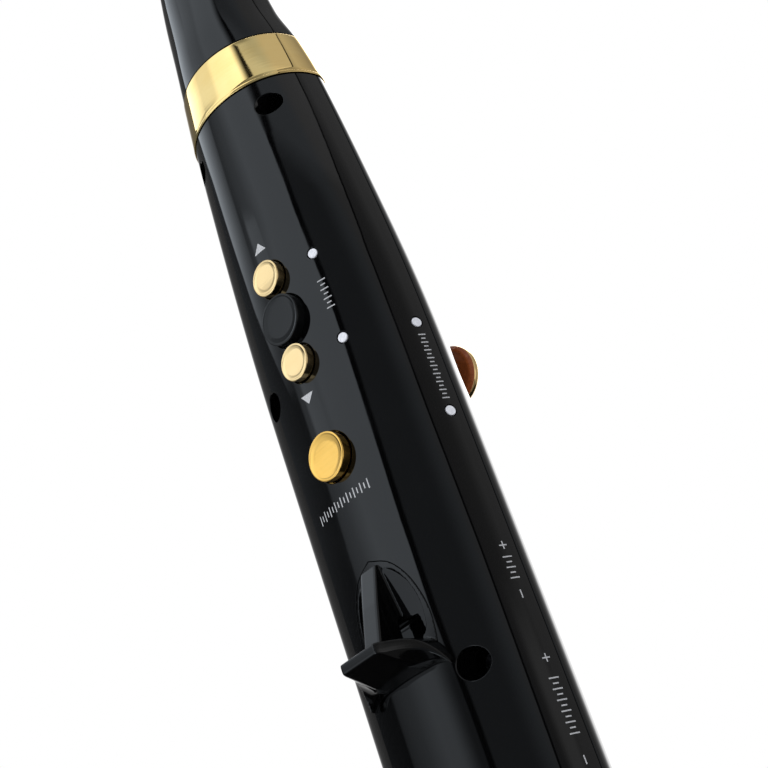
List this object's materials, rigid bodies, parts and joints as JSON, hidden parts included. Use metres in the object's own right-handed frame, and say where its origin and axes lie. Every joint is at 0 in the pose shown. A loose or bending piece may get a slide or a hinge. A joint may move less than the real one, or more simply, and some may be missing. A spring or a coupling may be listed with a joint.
{
  "type": "digital wind controller",
  "caption": "Straight saxophone-fingered electronic wind instrument in gloss black with gold trim, thumb buttons and a thumb hook behind, and gold finger keys in front.",
  "frame": {"origin": "centre of the flat bell end, on which the instrument can stand", "axes": "+Z along the body towards the mouthpiece, -Y out of the rear with the thumb buttons and the thumb hook, +Y out of the front with the finger keys, +X towards the side with the side key and the printed strip"},
  "size_m": [0.0624, 0.055, 0.52],
  "materials": {
    "gloss_black": "polished black",
    "gold_trim": "polished pale gold",
    "black_rubber": "satin black",
    "clear_silicone": "soft, slightly milky",
    "circuit_green": "solder resist",
    "steel": "bright",
    "black_steel": "blackened",
    "battery_wrap": "shrink sleeve",
    "matt_black": "fine grain",
    "red_wire": "insulation",
    "grey_wire": "insulation",
    "silver_window": "frosted silver"
  },
  "bodies": {
    "instrument": {"rear_shell": "gloss_black", "front_shell": "gloss_black", "neck_shell": "gloss_black", "thumb_hook": "gloss_black", "gold_ring": "gold_trim", "bell_ring": "gold_trim", "mouthpiece_seal": "black_rubber", "air_tube": "clear_silicone", "main_board": "circuit_green", "button_board": "circuit_green", "socket_board": "circuit_green", "hook_screw_upper": "steel", "hook_screw_lower": "steel", "main_board_screw_1": "steel", "main_board_screw_2": "steel", "main_board_screw_3": "steel", "button_board_screw_1": "steel", "button_board_screw_2": "steel", "socket_board_screw_1": "steel", "socket_board_screw_2": "steel", "charging_socket": "steel", "shell_screw_neck_right": "black_steel", "shell_screw_neck_left": "black_steel", "shell_screw_upper_left": "black_steel", "shell_screw_middle_right": "black_steel", "shell_screw_lower_left": "black_steel", "shell_screw_bell_right": "black_steel", "shell_screw_bell_left": "black_steel", "headphone_socket": "black_steel", "battery": "battery_wrap", "end_cap": "matt_black", "speaker": "matt_black", "battery_cradle": "matt_black", "breath_sensor": "matt_black", "battery_lead": "red_wire", "speaker_lead": "grey_wire", "board_ribbon": "grey_wire", "key_light_upper": "silver_window", "key_light_lower": "silver_window", "side_light_upper": "silver_window", "side_light_lower": "silver_window"},
    "upper_octave_button": {"upper_octave_button": "gold_trim"},
    "thumb_button": {"thumb_button": "gloss_black"},
    "lower_octave_button": {"lower_octave_button": "gold_trim"},
    "function_button": {"function_button": "gold_trim"},
    "left_index_key": {"left_index_key": "gold_trim"},
    "left_middle_key": {"left_middle_key": "gold_trim"},
    "left_ring_key": {"left_ring_key": "gold_trim"},
    "left_side_key": {"left_side_key": "gold_trim"},
    "left_between_key": {"left_between_key": "gold_trim"},
    "left_little_key": {"left_little_key": "gold_trim"},
    "right_index_key": {"right_index_key": "gold_trim"},
    "right_middle_key": {"right_middle_key": "gold_trim"},
    "right_ring_key": {"right_ring_key": "gold_trim"},
    "right_little_upper_key": {"right_little_upper_key": "gold_trim"},
    "right_little_lower_key": {"right_little_lower_key": "gold_trim"},
    "power_switch_knob": {"power_switch_knob": "gloss_black"},
    "mouthpiece": {"mouthpiece": "black_rubber"}
  },
  "joints": [
    {"name": "upper_octave_button_press", "type": "slide", "parent": "instrument", "child": "upper_octave_button", "axis": [0, 1, 0], "range_m": [0, 0.0012], "stiffness_N_per_m": 900},
    {"name": "thumb_button_press", "type": "slide", "parent": "instrument", "child": "thumb_button", "axis": [0, 1, 0], "range_m": [0, 0.0012], "stiffness_N_per_m": 900},
    {"name": "lower_octave_button_press", "type": "slide", "parent": "instrument", "child": "lower_octave_button", "axis": [0, 1, 0], "range_m": [0, 0.0012], "stiffness_N_per_m": 900},
    {"name": "function_button_press", "type": "slide", "parent": "instrument", "child": "function_button", "axis": [0, 1, 0], "range_m": [0, 0.0012], "stiffness_N_per_m": 900},
    {"name": "left_index_key_press", "type": "slide", "parent": "instrument", "child": "left_index_key", "axis": [0, -1, 0], "range_m": [0, 0.0015], "stiffness_N_per_m": 500},
    {"name": "left_middle_key_press", "type": "slide", "parent": "instrument", "child": "left_middle_key", "axis": [0, -1, 0], "range_m": [0, 0.0015], "stiffness_N_per_m": 500},
    {"name": "left_ring_key_press", "type": "slide", "parent": "instrument", "child": "left_ring_key", "axis": [0, -1, 0], "range_m": [0, 0.0015], "stiffness_N_per_m": 500},
    {"name": "left_side_key_press", "type": "slide", "parent": "instrument", "child": "left_side_key", "axis": [0, -1, 0], "range_m": [0, 0.0015], "stiffness_N_per_m": 500},
    {"name": "left_between_key_press", "type": "slide", "parent": "instrument", "child": "left_between_key", "axis": [0, -1, 0], "range_m": [0, 0.0015], "stiffness_N_per_m": 500},
    {"name": "left_little_key_press", "type": "slide", "parent": "instrument", "child": "left_little_key", "axis": [0, -1, 0], "range_m": [0, 0.0015], "stiffness_N_per_m": 500},
    {"name": "right_index_key_press", "type": "slide", "parent": "instrument", "child": "right_index_key", "axis": [0, -1, 0], "range_m": [0, 0.0015], "stiffness_N_per_m": 500},
    {"name": "right_middle_key_press", "type": "slide", "parent": "instrument", "child": "right_middle_key", "axis": [0, -1, 0], "range_m": [0, 0.0015], "stiffness_N_per_m": 500},
    {"name": "right_ring_key_press", "type": "slide", "parent": "instrument", "child": "right_ring_key", "axis": [0, -1, 0], "range_m": [0, 0.0015], "stiffness_N_per_m": 500},
    {"name": "right_little_upper_key_press", "type": "slide", "parent": "instrument", "child": "right_little_upper_key", "axis": [0, -1, 0], "range_m": [0, 0.0015], "stiffness_N_per_m": 500},
    {"name": "right_little_lower_key_press", "type": "slide", "parent": "instrument", "child": "right_little_lower_key", "axis": [0, -1, 0], "range_m": [0, 0.0015], "stiffness_N_per_m": 500},
    {"name": "power_switch_slide", "type": "slide", "parent": "instrument", "child": "power_switch_knob", "axis": [0, 0, 1], "range_m": [0, 0.0036]},
    {"name": "mouthpiece_pull", "type": "slide", "parent": "instrument", "child": "mouthpiece", "axis": [0, 0, 1], "range_m": [0, 0.016]}
  ]
}
